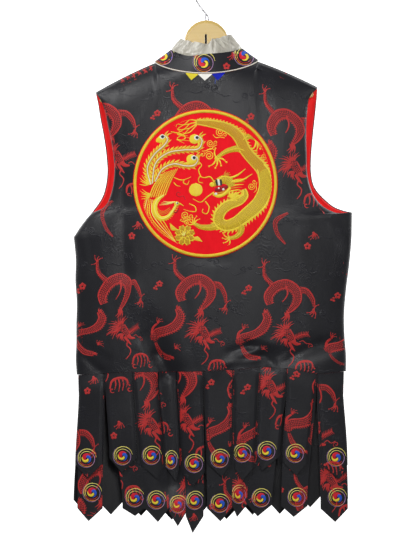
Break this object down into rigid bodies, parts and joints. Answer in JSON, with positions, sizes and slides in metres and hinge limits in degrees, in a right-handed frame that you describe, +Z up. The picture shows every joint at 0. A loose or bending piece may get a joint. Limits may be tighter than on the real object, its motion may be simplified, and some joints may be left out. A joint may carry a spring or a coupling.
{
  "type": "long sleeveless vest on a wooden hanger (vest + hanger)",
  "caption": "Long sleeveless black brocade vest with stand collar, round red applique and two layers of pointed hanging strips, on a wooden hanger.",
  "frame": {"origin": "inner top of the hanger's hook, the point that hangs on a rail", "axes": "+Z up; the vest's back faces -Y; +X is the wearer's right"},
  "size_m": [0.5843, 0.1045, 1.1671],
  "materials": {
    "brocade": "black satin brocade with a woven pattern",
    "red_satin": "glossy red satin",
    "white_satin": "soft ivory satin",
    "piping_cord": "matt corded piping",
    "gold_thread": "metallic gold thread",
    "pennant_yellow": "satin",
    "pennant_white": "satin",
    "pennant_blue": "satin",
    "wood": "pale lacquered plywood",
    "steel": "polished wire"
  },
  "bodies": {
    "root": {"back": "brocade", "front_left": "brocade", "front_right": "brocade", "collar": "brocade", "strip_back_upper_1": "brocade", "strip_back_upper_2": "brocade", "strip_back_upper_3": "brocade", "strip_back_upper_4": "brocade", "strip_back_upper_5": "brocade", "strip_back_upper_6": "brocade", "strip_back_upper_7": "brocade", "strip_back_upper_8": "brocade", "strip_back_upper_9": "brocade", "strip_back_upper_10": "brocade", "strip_back_lower_1": "brocade", "strip_back_lower_2": "brocade", "strip_back_lower_3": "brocade", "strip_back_lower_4": "brocade", "strip_back_lower_5": "brocade", "strip_back_lower_6": "brocade", "strip_back_lower_7": "brocade", "strip_back_lower_8": "brocade", "strip_back_lower_9": "brocade", "strip_back_lower_10": "brocade", "strip_front_upper_1": "brocade", "strip_front_upper_2": "brocade", "strip_front_upper_3": "brocade", "strip_front_upper_4": "brocade", "strip_front_upper_5": "brocade", "strip_front_upper_6": "brocade", "strip_front_upper_7": "brocade", "strip_front_upper_8": "brocade", "strip_front_upper_9": "brocade", "strip_front_upper_10": "brocade", "strip_front_lower_1": "brocade", "strip_front_lower_2": "brocade", "strip_front_lower_3": "brocade", "strip_front_lower_4": "brocade", "strip_front_lower_5": "brocade", "strip_front_lower_6": "brocade", "strip_front_lower_7": "brocade", "strip_front_lower_8": "brocade", "strip_front_lower_9": "brocade", "strip_front_lower_10": "brocade", "lining_left": "red_satin", "lining_right": "red_satin", "roundel": "red_satin", "roundel_ring": "gold_thread", "collar_piping": "piping_cord", "inner_collar": "white_satin", "pennant_yellow": "pennant_yellow", "pennant_white": "pennant_white", "pennant_blue": "pennant_blue", "hanger_board": "wood", "hanger_hook": "steel"}
  },
  "joints": []
}
